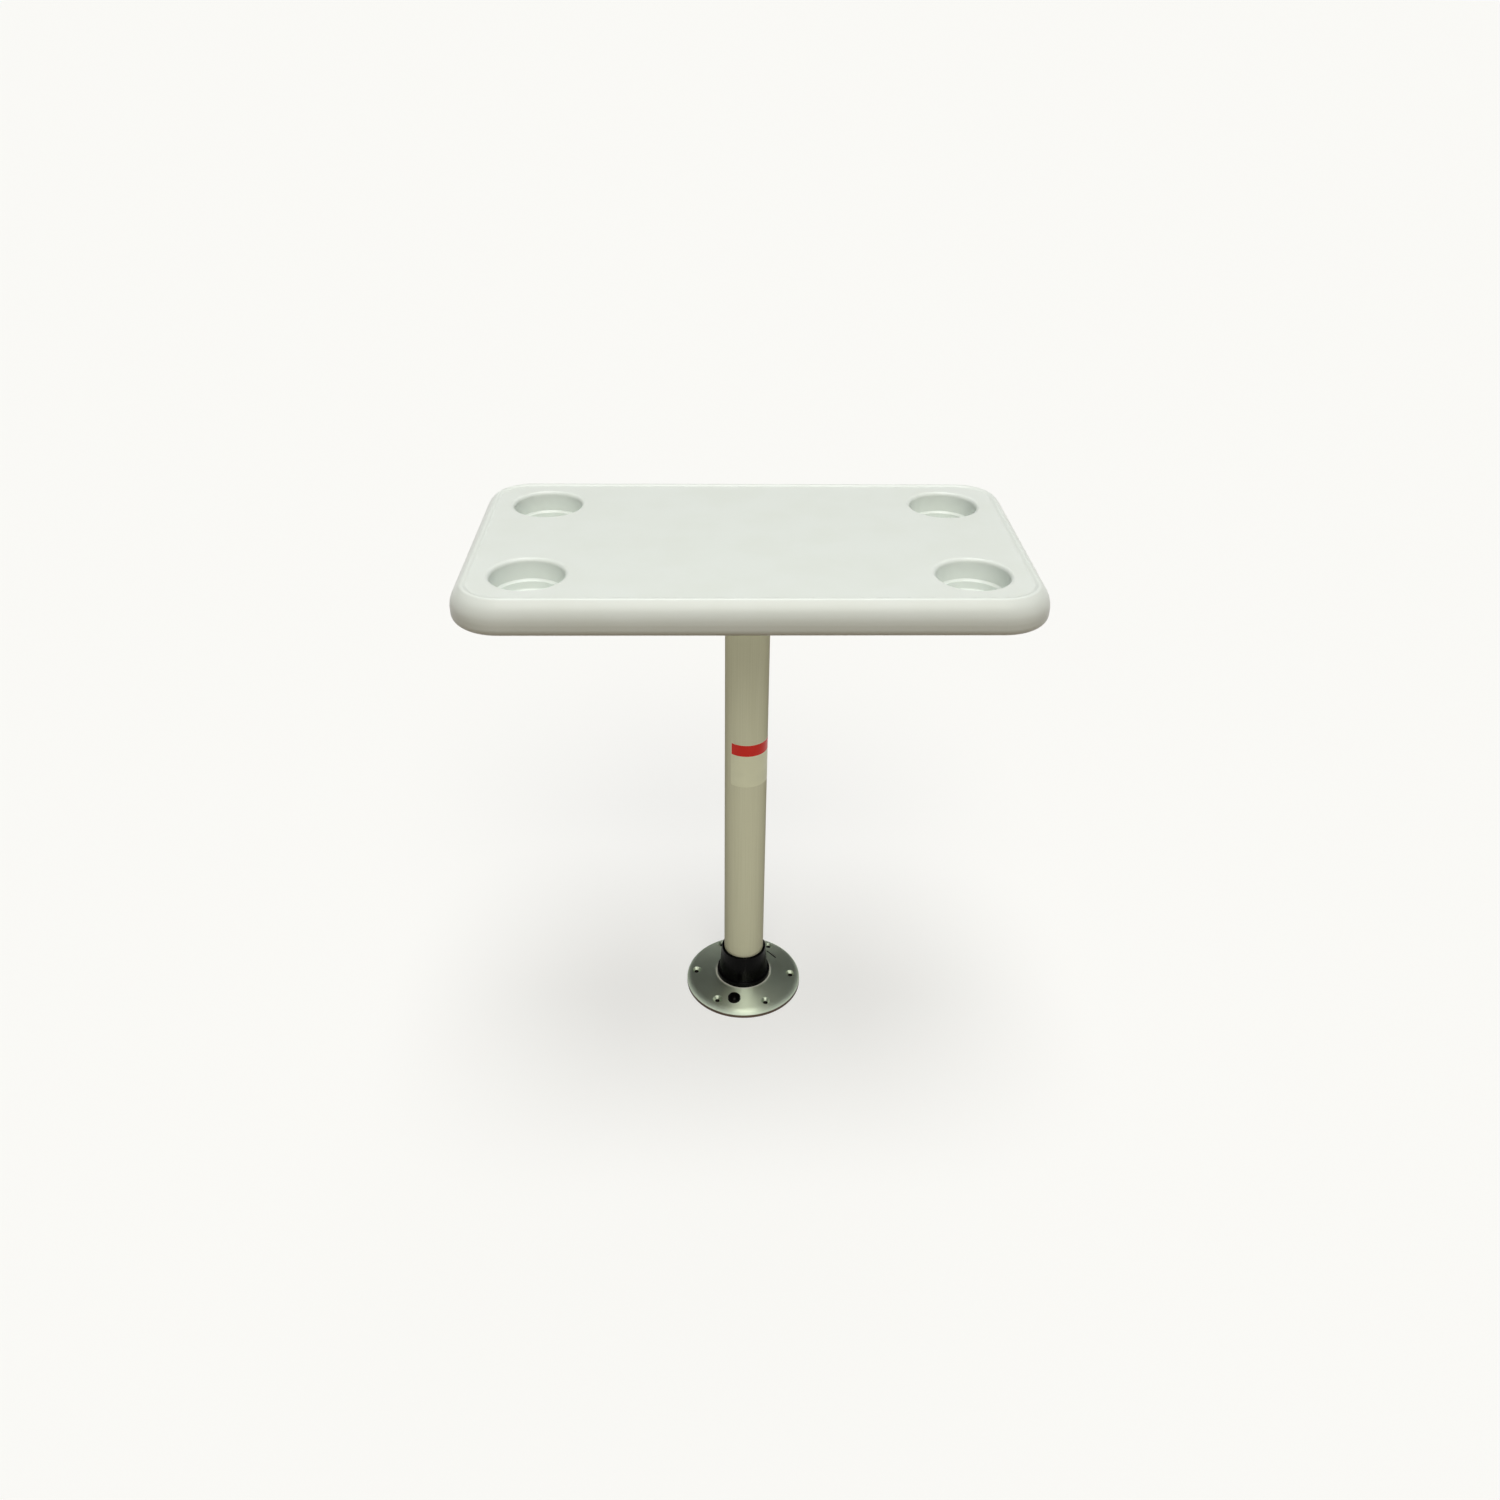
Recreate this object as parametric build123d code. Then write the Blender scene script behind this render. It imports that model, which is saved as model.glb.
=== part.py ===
"""Single pole camper table.

A moulded top with four cup wells stands on one round tube. The tube ends in plugs that drop into
a socket on the floor plate and into a matching socket under the top, and turn there. On each plate
a push button draws a sprung bolt out of the groove in the plug, so that the tube can be lifted out.

Millimetres, +Z up, origin on the floor at the centre of the floor plate.
"""
import os
from math import asin, atan2, cos, degrees, radians, sin, tan

from build123d import *

# Table top
SURFACE_HEIGHT = 750.0
TABLE_LENGTH = 711.2
TABLE_WIDTH = 406.4
TABLE_CORNER_R = 62.0
TABLE_DEPTH = 42.0
LIP_RISE = 1.8
LIP_RUN = 6.0
EDGE_ROLL_IN = 16.0
EDGE_CREST_R = 5.0
EDGE_SKIRT = 5.8
EDGE_FOOT_R = 10.0
UNDER_BAND = 30.0
UNDER_RECESS = 3.0
UNDER_RECESS_CORNER_R = 32.0
PAD_MARGIN = 11.0

# Cup wells
CUP_X = 267.0
CUP_Y = 115.0
CUP_R = 45.0
CUP_RIM_R = 5.0
CUP_DRAFT = 0.5
CUP_LEDGE = 3.3
CUP_LEDGE_DROP = 2.5
CUP_LEDGE_HEIGHT = 13.0
CUP_FLOOR = 3.0
CUP_FLOOR_R = 3.0
CUP_BOSS_WALL = 8.0

# Post tube and the plugs in its ends
POST_R = 30.15
POST_WALL = 2.6
PLUG_FIT = 0.05
PLUG_CLEARANCE = 0.3
PLUG_SPIGOT = 38.0
PLUG_END = 1.8
PLUG_CHAMFER = 0.8
PLUG_BORE_R = 16.0
GROOVE_DEPTH = 4.4
GROOVE_PLAY = 0.4
TUBE_STAND = 22.0
PIN_R = 3.0
PIN_FIT = 0.05
PIN_HEIGHT = 20.0
PIN_SHORT = 0.25

# Floor plate and table plate, one casting used twice
PLATE_R = 89.0
PLATE_RIM = 4.5
PLATE_SHOULDER_R = 9.0
PLATE_CONE_ANGLE = 7.0
PLATE_WALL = 3.5
HUB_MARGIN = 2.7
RIB_THICKNESS = 3.0
HOLE_COUNT = 6
HOLE_EDGE = 14.5
HOLE_R = 3.5
HOLE_SINK_R = 7.2
HOLE_BOSS_R = 7.5
HOLE_START_ANGLE = -4.0
SLOT_LENGTH = 23.0
SLOT_WIDTH = 2.8
SLOT_EDGE = 29.0
SLOT_ANGLE = 40.0

# Socket that the tube stands in
POST_FIT = 0.09
SOCKET_HEIGHT = 70.0
SOCKET_TOP_WALL = 3.8
SOCKET_FOOT_WALL = 7.2
SOCKET_FLANGE = 3.8
SOCKET_FLANGE_HEIGHT = 8.0
SOCKET_FLANGE_R = 2.6
SOCKET_TOP_R = 1.4
SOCKET_BODY_WALL = 3.3
SOCKET_FIT = 0.3
SOCKET_FLOOR = 1.5
SOCKET_DRAIN_R = 5.0
SOCKET_SCREWS = 4
SOCKET_SCREW_R = 1.75
SOCKET_SCREW_BITE = 4.2
SOCKET_SCREW_HEAD_R = 3.3
SOCKET_SCREW_HEAD = 2.2

# Latch: button, bolt, leaf spring and the cover that carries them
LATCH_ANGLE = 256.0
COVER_LIFT = 0.4
COVER_TOP = 5.0
COVER_WIDTH = 31.0
COVER_CORNER_R = 3.0
COVER_GAP = 1.0
COVER_STOP = 1.8
COVER_STOP_WIDTH = 14.0
COVER_EDGE = 6.6
COVER_FLOOR = 1.2
COVER_SCREW_R = 1.5
COVER_SCREW_HEAD_R = 2.8
COVER_SCREW_BITE = 5.0
COVER_SCREW_INSET = 4.2
COVER_BOSS_R = 3.9
BOLT_WIDTH = 14.0
BOLT_THICKNESS = 3.0
BOLT_PLAY = 0.2
BOLT_SIDE_PLAY = 0.3
BOLT_TIP_GAP = 0.6
BOLT_BEVEL = 1.4
BUTTON_EDGE = 25.0
BUTTON_R = 9.5
BUTTON_PLAY = 0.3
BUTTON_FLANGE = 1.2
BUTTON_FLANGE_THICKNESS = 1.4
BUTTON_PROUD = 8.6
BUTTON_SKIRT = 3.4
BUTTON_BOSS_WALL = 2.4
BUTTON_BOSS_HANG = 3.0
BUTTON_TRAVEL = 3.0
WEDGE_RATIO = 1.4
WEDGE_WIDTH = 7.0
WEDGE_BACK = 5.0
WEDGE_TOE = 1.0
WEDGE_GAP = 0.4
SPRING_LEAF = 0.7
SPRING_HEIGHT = 2.6
SPRING_SPREAD = 5.6
SPRING_BEND_R = 2.0
SPRING_GAP = 0.2
SPRING_FLAT_PLAY = 1.4

# Screws
DRIVE_WIDTH = 1.3
DRIVE_SHARE = 0.62
DRIVE_DEPTH = 1.4
SCREW_FIT = 0.1
SCREW_CLEARANCE = 0.35
PLATE_SCREW_R = 2.4
PLATE_SCREW_BITE = 16.0
SCREW_POINT = 3.0

# Depth that a cut runs past the face it starts from
PAST = 1.0

# Sizes that follow from the ones above
UNDERSIDE_HEIGHT = SURFACE_HEIGHT - TABLE_DEPTH
EDGE_ROLL_DROP = TABLE_DEPTH + LIP_RISE - EDGE_SKIRT - EDGE_FOOT_R
CUP_DEPTH = TABLE_DEPTH - CUP_FLOOR
BORE_R = POST_R + POST_FIT
PLUG_R = BORE_R - PLUG_CLEARANCE
GROOVE_R = PLUG_R - GROOVE_DEPTH
SOCKET_BODY_R = BORE_R + SOCKET_BODY_WALL
SOCKET_FOOT_R = BORE_R + SOCKET_FOOT_WALL
FLANGE_R = SOCKET_FOOT_R + SOCKET_FLANGE
HUB_BORE_R = SOCKET_BODY_R + SOCKET_FIT
HUB_R = FLANGE_R + HUB_MARGIN
SOCKET_SCREW_CIRCLE = (HUB_BORE_R + FLANGE_R) / 2
HOLE_CIRCLE = PLATE_R - HOLE_EDGE
BUTTON_AT = PLATE_R - BUTTON_EDGE
SLOT_AT = PLATE_R - SLOT_EDGE

BOLT_Z = COVER_TOP + BOLT_PLAY
BOLT_TOP = BOLT_Z + BOLT_THICKNESS
BOLT_TIP = GROOVE_R + BOLT_TIP_GAP
BOLT_TRAVEL = BUTTON_TRAVEL * WEDGE_RATIO
HUB_FOOT_Z = BOLT_TOP + GROOVE_PLAY
GROOVE_Z = BOLT_Z - GROOVE_PLAY
SOCKET_FLOOR_Z = GROOVE_Z - PLUG_END
FLANGE_Z = BOLT_TOP + BUTTON_PLAY + BUTTON_TRAVEL
BUTTON_PAD_Z = FLANGE_Z + BUTTON_FLANGE_THICKNESS
COVER_IN = HUB_R + COVER_GAP
COVER_OUT = PLATE_R - COVER_EDGE
STOP_FACE = COVER_OUT - COVER_STOP
SPRING_REACH = BOLT_TRAVEL + SPRING_LEAF + SPRING_FLAT_PLAY
BOLT_TAIL = STOP_FACE - SPRING_REACH

UPRIGHT = (Align.CENTER, Align.CENTER, Align.MIN)


def disc(radius, low, high):
    """Upright cylinder on the Z axis between two heights."""
    return Pos(0, 0, low) * Cylinder(radius, high - low, align=UPRIGHT)


def block(start, end, width, low, high):
    """Block along +X from start to end, centred across it, between two heights."""
    return Pos((start + end) / 2, 0, low) * Box(end - start, width, high - low, align=UPRIGHT)


def spun(*outline):
    """Solid turned about the Z axis from a closed outline of radius and height."""
    return revolve(Plane.XZ * make_face(outline), Axis.Z)


def prism(width, *points):
    """Prism across the X-Z plane from the corners of its side view."""
    return extrude(Plane.XZ * make_face(Polyline(*points, close=True)), amount=width / 2, both=True)


def polar(radius, angle):
    """Placement at a radius and an angle about the Z axis, turned with the angle."""
    return Rot(0, 0, angle) * Pos(radius, 0, 0)


def around(count, radius, start=0.0):
    """Evenly spaced placements on a circle about the Z axis."""
    return [polar(radius, start + 360 * index / count) for index in range(count)]


def group(shapes):
    """Separate solids kept together as one piece."""
    return Compound(children=list(shapes))


def drive_recess(head_r, face_z, depth):
    """Cross recess cut down from a screw's face."""
    arm = 2 * head_r * DRIVE_SHARE
    bar = Pos(0, 0, face_z - depth) * Box(arm, DRIVE_WIDTH, depth + PAST, align=UPRIGHT)
    return bar + Rot(0, 0, 90) * bar


def flat_screw(head_r, shank_r, face_z, tip_z):
    """Countersunk screw on the Z axis, face up and point down."""
    neck_z = face_z - (head_r - shank_r)
    body = spun(
        Polyline(
            (0, tip_z),
            (shank_r, tip_z + SCREW_POINT),
            (shank_r, neck_z),
            (head_r, face_z),
            (0, face_z),
            close=True,
        )
    )
    return body - drive_recess(head_r, face_z, DRIVE_DEPTH)


def pan_screw(head_r, head_height, shank_r, seat_z, tip_z):
    """Pan head screw on the Z axis, head up on its seat and point down."""
    face_z = seat_z + head_height
    shoulder = head_height / 2
    body = spun(
        Polyline(
            (0, face_z),
            (0, tip_z),
            (shank_r, tip_z + SCREW_POINT),
            (shank_r, seat_z),
            (head_r, seat_z),
            (head_r, face_z - shoulder),
        ),
        CenterArc((head_r - shoulder, face_z - shoulder), shoulder, 0, 90),
        Line((head_r - shoulder, face_z), (0, face_z)),
    )
    return body - drive_recess(head_r, face_z, DRIVE_DEPTH)


def sink(hole_r, sink_r, face_z):
    """Countersink on the Z axis, open upwards from its face."""
    cone = Pos(0, 0, face_z - (sink_r - hole_r)) * Cone(hole_r, sink_r, sink_r - hole_r, align=UPRIGHT)
    return cone + disc(sink_r, face_z, face_z + sink_r)


# The plate


def dome_meet(wall):
    """Where the plate's cone meets its rounded shoulder, at a depth below the outer face."""
    lean = radians(PLATE_CONE_ANGLE)
    reach = PLATE_SHOULDER_R - wall
    return PLATE_R - PLATE_SHOULDER_R + reach * sin(lean), PLATE_RIM + reach * cos(lean)


def dome_height(radius, wall=0.0):
    """Height of the plate's cone at a radius, at a depth below the outer face."""
    meet_r, meet_z = dome_meet(wall)
    return meet_z + (meet_r - radius) * tan(radians(PLATE_CONE_ANGLE))


SEAT_Z = dome_height(HUB_R)
BUTTON_FACE_Z = dome_height(BUTTON_AT)
HOLE_FACE_Z = dome_height(HOLE_CIRCLE)


def dome(wall):
    """Solid of the plate's outline, at a depth below the outer face."""
    meet_r, meet_z = dome_meet(wall)
    crown_z = dome_height(HUB_R, wall)
    edge_r = PLATE_R - wall
    shoulder = (PLATE_R - PLATE_SHOULDER_R, PLATE_RIM)
    return spun(
        Polyline((0, crown_z), (0, 0), (edge_r, 0), (edge_r, PLATE_RIM)),
        CenterArc(shoulder, PLATE_SHOULDER_R - wall, 0, 90 - PLATE_CONE_ANGLE),
        Polyline((meet_r, meet_z), (HUB_R, crown_z), (0, crown_z)),
    )


def cover_screw_places():
    """Placements of the four screws that hold the latch cover, along the latch."""
    side = COVER_WIDTH / 2 - COVER_SCREW_INSET
    runs = (COVER_IN + COVER_SCREW_INSET, STOP_FACE - COVER_SCREW_INSET / 2)
    return [Pos(run, way * side, 0) for run in runs for way in (-1, 1)]


def socket_screw_places():
    """Placements of the screws that hold the socket down, clear of the latch."""
    return around(SOCKET_SCREWS, SOCKET_SCREW_CIRCLE, LATCH_ANGLE + 180 / SOCKET_SCREWS)


def plate():
    """Domed casting: hollow below, with hub, ribs, hole bosses and the seat of the latch."""
    outer = dome(0)
    top = dome_height(0) + PAST
    latch = Rot(0, 0, LATCH_ANGLE)
    holes = around(HOLE_COUNT, HOLE_CIRCLE, HOLE_START_ANGLE)
    hollow = dome(PLATE_WALL) - disc(HUB_R, -PAST, top)
    shell = outer - hollow

    inside = [place * disc(HOLE_BOSS_R, 0, top) for place in holes]
    for index in range(HOLE_COUNT):
        rib = block(HUB_R - PAST, HOLE_CIRCLE, RIB_THICKNESS, HUB_FOOT_Z, top)
        inside.append(Rot(0, 0, HOLE_START_ANGLE + 360 * index / HOLE_COUNT) * rib)
    flange_r = BUTTON_R + BUTTON_FLANGE
    boss_r = flange_r + BUTTON_PLAY + BUTTON_BOSS_WALL
    inside.append(latch * Pos(BUTTON_AT, 0, 0) * disc(boss_r, BUTTON_PAD_Z - BUTTON_BOSS_HANG, top))
    inside += [latch * place * disc(COVER_BOSS_R, COVER_TOP, top) for place in cover_screw_places()]
    shell += [piece & outer for piece in inside]

    shell -= disc(HUB_R, -PAST, HUB_FOOT_Z)
    shell -= disc(HUB_BORE_R, -PAST, top)
    button = latch * Pos(BUTTON_AT, 0, 0)
    shell -= button * disc(BUTTON_R + BUTTON_PLAY, 0, top)
    shell -= button * disc(flange_r + BUTTON_PLAY, 0, BUTTON_PAD_Z)
    for place in holes:
        shell -= place * disc(HOLE_R, -PAST, top)
        shell -= place * sink(HOLE_R, HOLE_SINK_R, HOLE_FACE_Z)
    for place in socket_screw_places():
        shell -= place * disc(SOCKET_SCREW_R + SCREW_CLEARANCE, 0, top)
    for place in cover_screw_places():
        pilot = disc(COVER_SCREW_R + SCREW_FIT, 0, COVER_TOP + COVER_SCREW_BITE)
        shell -= latch * place * pilot
    slot = extrude(SlotOverall(SLOT_LENGTH, SLOT_WIDTH, rotation=90), top)
    shell -= polar(SLOT_AT, SLOT_ANGLE) * slot
    return shell


# The socket


def socket():
    """Bell shaped socket: flange on the plate's hub, body through it, window for the bolt."""
    top_r = BORE_R + SOCKET_TOP_WALL
    flange_top = SEAT_Z + SOCKET_FLANGE_HEIGHT
    foot_z = SOCKET_FLOOR_Z - SOCKET_FLOOR
    waist = SOCKET_FLANGE - SOCKET_FLANGE_R
    body = spun(
        Polyline(
            (0, foot_z),
            (SOCKET_BODY_R, foot_z),
            (SOCKET_BODY_R, SEAT_Z),
            (FLANGE_R, SEAT_Z),
            (FLANGE_R, flange_top - SOCKET_FLANGE_R),
        ),
        CenterArc((FLANGE_R - SOCKET_FLANGE_R, flange_top - SOCKET_FLANGE_R), SOCKET_FLANGE_R, 0, 90),
        CenterArc((SOCKET_FOOT_R + waist, flange_top + waist), waist, 270, -90),
        Polyline(
            (SOCKET_FOOT_R, flange_top + waist),
            (top_r, SOCKET_HEIGHT - SOCKET_TOP_R),
        ),
        CenterArc((top_r - SOCKET_TOP_R, SOCKET_HEIGHT - SOCKET_TOP_R), SOCKET_TOP_R, 0, 90),
        Polyline((top_r - SOCKET_TOP_R, SOCKET_HEIGHT), (0, SOCKET_HEIGHT), (0, foot_z)),
    )
    body -= disc(BORE_R, SOCKET_FLOOR_Z, SOCKET_HEIGHT + PAST)
    body -= disc(SOCKET_DRAIN_R, foot_z - PAST, SOCKET_HEIGHT)
    for place in socket_screw_places():
        body -= place * disc(SOCKET_SCREW_R + SCREW_FIT, SEAT_Z - PAST, SEAT_Z + SOCKET_SCREW_BITE)
    window = block(
        GROOVE_R,
        FLANGE_R,
        BOLT_WIDTH + 2 * BOLT_SIDE_PLAY,
        BOLT_Z - BOLT_SIDE_PLAY,
        BOLT_TOP + BOLT_SIDE_PLAY,
    )
    return body - Rot(0, 0, LATCH_ANGLE) * window


def socket_screws():
    """Pan head screws that come up through the hub into the socket's flange."""
    tip_z = -(SEAT_Z + SOCKET_SCREW_BITE - SCREW_FIT)
    screw = pan_screw(SOCKET_SCREW_HEAD_R, SOCKET_SCREW_HEAD, SOCKET_SCREW_R, -HUB_FOOT_Z, tip_z)
    return group(place * Rot(180, 0, 0) * screw for place in socket_screw_places())


# The latch, drawn along +X and turned to its place


def wedge_line(height):
    """Distance from the axis of the wedge's sloped face at a height."""
    return BUTTON_AT - WEDGE_TOE + WEDGE_RATIO * (height - BOLT_Z)


def button():
    """Domed push button with its stop flange and the wedge that moves the bolt."""
    flange_r = BUTTON_R + BUTTON_FLANGE
    skirt_z = BUTTON_FACE_Z + BUTTON_SKIRT
    crown_z = BUTTON_FACE_Z + BUTTON_PROUD
    rise = crown_z - skirt_z
    ball_r = (BUTTON_R**2 + rise**2) / (2 * rise)
    start = degrees(asin((ball_r - rise) / ball_r))
    cap = spun(
        Polyline(
            (0, crown_z),
            (0, FLANGE_Z),
            (flange_r, FLANGE_Z),
            (flange_r, BUTTON_PAD_Z),
            (BUTTON_R, BUTTON_PAD_Z),
            (BUTTON_R, skirt_z),
        ),
        CenterArc((0, crown_z - ball_r), ball_r, start, 90 - start),
    )
    wedge = prism(
        WEDGE_WIDTH,
        (BUTTON_AT - WEDGE_BACK, BOLT_Z),
        (wedge_line(BOLT_Z), BOLT_Z),
        (wedge_line(FLANGE_Z), FLANGE_Z),
        (BUTTON_AT - WEDGE_BACK, FLANGE_Z),
    )
    return Rot(0, 0, LATCH_ANGLE) * (Pos(BUTTON_AT, 0, 0) * cap + wedge)


def latch_bolt():
    """Flat bolt: bevelled tip in the plug's groove, window with a sloped end for the wedge."""
    bolt = block(BOLT_TIP, BOLT_TAIL, BOLT_WIDTH, BOLT_Z, BOLT_TOP)
    tip_edge = bolt.edges().filter_by(Axis.Y).group_by(Axis.X)[0].sort_by(Axis.Z)[-1]
    bolt = chamfer(tip_edge, BOLT_BEVEL)
    low = BOLT_Z - PAST
    high = BOLT_TOP + PAST
    back = BUTTON_AT - WEDGE_BACK - BOLT_TRAVEL - WEDGE_GAP
    bolt -= prism(
        WEDGE_WIDTH + 2 * BOLT_SIDE_PLAY,
        (back, low),
        (wedge_line(low) + WEDGE_GAP, low),
        (wedge_line(high) + WEDGE_GAP, high),
        (back, high),
    )
    return Rot(0, 0, LATCH_ANGLE) * bolt


def latch_spring():
    """Bent leaf that pushes the bolt towards the tube."""
    apex = BOLT_TAIL + SPRING_GAP + SPRING_LEAF / 2
    ends = STOP_FACE - SPRING_GAP - SPRING_LEAF / 2
    line = FilletPolyline((ends, -SPRING_SPREAD), (apex, 0), (ends, SPRING_SPREAD), radius=SPRING_BEND_R)
    leaf = extrude(trace(line, SPRING_LEAF), SPRING_HEIGHT)
    return Rot(0, 0, LATCH_ANGLE) * Pos(0, 0, BOLT_Z) * leaf


def latch_cover():
    """Bed under the bolt, with a stop for the spring and a pocket for the wedge."""
    bed = block(COVER_IN, COVER_OUT, COVER_WIDTH, COVER_LIFT, COVER_TOP)
    bed = fillet(bed.edges().filter_by(Axis.Z), COVER_CORNER_R)
    bed += block(STOP_FACE, COVER_OUT, COVER_STOP_WIDTH, COVER_TOP, BOLT_TOP)
    pocket_back = BUTTON_AT - WEDGE_BACK - WEDGE_GAP
    pocket_front = wedge_line(COVER_TOP + BUTTON_TRAVEL) + WEDGE_GAP
    pocket_width = WEDGE_WIDTH + 2 * BOLT_SIDE_PLAY
    bed -= block(pocket_back, pocket_front, pocket_width, COVER_LIFT + COVER_FLOOR, COVER_TOP + PAST)
    screw_sink = Rot(180, 0, 0) * sink(COVER_SCREW_R, COVER_SCREW_HEAD_R + SCREW_CLEARANCE, -COVER_LIFT)
    for place in cover_screw_places():
        bed -= place * disc(COVER_SCREW_R + SCREW_CLEARANCE, 0, COVER_TOP + PAST)
        bed -= place * screw_sink
    return Rot(0, 0, LATCH_ANGLE) * bed


def cover_screws():
    """Countersunk screws that hold the latch cover to the plate."""
    tip_z = -(COVER_TOP + COVER_SCREW_BITE - SCREW_FIT)
    screw = flat_screw(COVER_SCREW_HEAD_R, COVER_SCREW_R, -COVER_LIFT - SCREW_FIT, tip_z)
    return group(Rot(0, 0, LATCH_ANGLE) * place * Rot(180, 0, 0) * screw for place in cover_screw_places())


# The post


def plug():
    """Turned plug: groove for the bolt near its end, spigot inside the tube, bored through."""
    spigot_r = POST_R - POST_WALL - PLUG_FIT
    groove_top = BOLT_TOP + GROOVE_PLAY
    top = TUBE_STAND + PLUG_SPIGOT
    solid = spun(
        Polyline(
            (PLUG_BORE_R, SOCKET_FLOOR_Z),
            (PLUG_R - PLUG_CHAMFER, SOCKET_FLOOR_Z),
            (PLUG_R, SOCKET_FLOOR_Z + PLUG_CHAMFER),
            (PLUG_R, GROOVE_Z),
            (GROOVE_R, GROOVE_Z),
            (GROOVE_R, groove_top),
            (PLUG_R, groove_top),
            (PLUG_R, TUBE_STAND),
            (spigot_r, TUBE_STAND),
            (spigot_r, top - PLUG_CHAMFER),
            (spigot_r - PLUG_CHAMFER, top),
            (PLUG_BORE_R, top),
            close=True,
        )
    )
    return solid - pin_hole()


def pin_axis():
    """Placement of the cross pin, lying along X at its height in the tube's end."""
    return Pos(0, 0, TUBE_STAND + PIN_HEIGHT) * Rot(0, 90, 0)


def pin_hole():
    """Hole for the cross pin, right through the tube and the plug."""
    return pin_axis() * Cylinder(PIN_R + PIN_FIT, 2 * POST_R + 2 * PAST)


def cross_pin():
    """Pin that ties a plug to the tube, its ends just below the tube's face."""
    return pin_axis() * Cylinder(PIN_R, 2 * (POST_R - PIN_SHORT))


def post_tube():
    """Plain tube from plug to plug, cross drilled at both ends."""
    low = TUBE_STAND
    high = UNDERSIDE_HEIGHT - TUBE_STAND
    tube = disc(POST_R, low, high) - disc(POST_R - POST_WALL, low - PAST, high + PAST)
    return tube - pin_hole() - UPSIDE_DOWN * pin_hole()


# The table top


def edge_section():
    """Section of the rim as distance from the corner's axis and height above the underside."""
    crest_z = TABLE_DEPTH + LIP_RISE
    roll_r = EDGE_ROLL_IN**2 + EDGE_ROLL_DROP**2 - 2 * EDGE_ROLL_DROP * EDGE_CREST_R
    roll_r /= 2 * (EDGE_ROLL_IN - EDGE_CREST_R)
    turn = degrees(atan2(EDGE_ROLL_DROP - EDGE_CREST_R, roll_r - EDGE_ROLL_IN))
    lip_r = (LIP_RUN**2 + LIP_RISE**2) / (4 * LIP_RISE)
    lip_turn = degrees(asin(LIP_RUN / 2 / lip_r))
    outer = TABLE_CORNER_R
    crest = outer - EDGE_ROLL_IN
    inner = crest - LIP_RUN
    foot = Line((inner, 0), (outer - EDGE_FOOT_R, 0))
    foot_roll = CenterArc((outer - EDGE_FOOT_R, EDGE_FOOT_R), EDGE_FOOT_R, 270, 90)
    skirt = Line((outer, EDGE_FOOT_R), (outer, EDGE_FOOT_R + EDGE_SKIRT))
    side_roll = CenterArc((outer - roll_r, EDGE_FOOT_R + EDGE_SKIRT), roll_r, 0, turn)
    crest_roll = CenterArc((crest, crest_z - EDGE_CREST_R), EDGE_CREST_R, turn, 90 - turn)
    lip_out = CenterArc((crest, crest_z - lip_r), lip_r, 90, lip_turn)
    lip_in = CenterArc((inner, TABLE_DEPTH + lip_r), lip_r, 270 + lip_turn, -lip_turn)
    back = Line((inner, TABLE_DEPTH), (inner, 0))
    return make_face([foot, foot_roll, skirt, side_roll, crest_roll, lip_out, lip_in, back])


def slab():
    """Closed slab with the rolled rim, standing on its underside."""
    half_x = TABLE_LENGTH / 2 - TABLE_CORNER_R
    half_y = TABLE_WIDTH / 2 - TABLE_CORNER_R
    inset = EDGE_ROLL_IN + LIP_RUN
    section = Plane.XZ * edge_section()
    core = RectangleRounded(TABLE_LENGTH - 2 * inset, TABLE_WIDTH - 2 * inset, TABLE_CORNER_R - inset)
    pieces = [extrude(core, TABLE_DEPTH)]
    for angle, out, along in ((0, half_x, half_y), (90, half_y, half_x)):
        side = Pos(out, 0, 0) * extrude(section, amount=along, both=True)
        corner = Pos(out, along, 0) * revolve(section, Axis.Z, revolution_arc=90)
        for turned in (angle, angle + 180):
            pieces += [Rot(0, 0, turned) * side, Rot(0, 0, turned) * corner]
    return pieces[0].fuse(*pieces[1:]).clean()


def cup_places():
    """Placements of the four cup wells in the surface."""
    return [Pos(x, y, TABLE_DEPTH) for x in (-CUP_X, CUP_X) for y in (-CUP_Y, CUP_Y)]


def cup_cut():
    """Hollow of a cup well: rounded rim, drafted wall, sloped ledge and rounded floor."""
    mouth_r = CUP_R + CUP_RIM_R
    ledge_z = CUP_LEDGE_HEIGHT - CUP_DEPTH
    ledge_r = CUP_R - CUP_DRAFT
    low_r = ledge_r - CUP_LEDGE
    floor_r = low_r - CUP_FLOOR_R
    return spun(
        Polyline(
            (low_r, CUP_FLOOR_R - CUP_DEPTH),
            (low_r, ledge_z - CUP_LEDGE_DROP),
            (ledge_r, ledge_z),
            (CUP_R, -CUP_RIM_R),
        ),
        CenterArc((mouth_r, -CUP_RIM_R), CUP_RIM_R, 180, -90),
        Polyline((mouth_r, 0), (mouth_r, PAST), (0, PAST), (0, -CUP_DEPTH), (floor_r, -CUP_DEPTH)),
        CenterArc((floor_r, CUP_FLOOR_R - CUP_DEPTH), CUP_FLOOR_R, 270, 90),
    )


def under_recess():
    """Shallow recess in the underside that leaves the rim, the cup bosses and the plate's pad."""
    length = TABLE_LENGTH - 2 * UNDER_BAND
    width = TABLE_WIDTH - 2 * UNDER_BAND
    recess = extrude(RectangleRounded(length, width, UNDER_RECESS_CORNER_R), UNDER_RECESS)
    recess -= disc(PLATE_R + PAD_MARGIN, 0, UNDER_RECESS)
    for place in cup_places():
        x, y, _ = place.position
        recess -= Pos(x, y, 0) * disc(CUP_R + CUP_BOSS_WALL, 0, UNDER_RECESS)
    return recess


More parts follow.
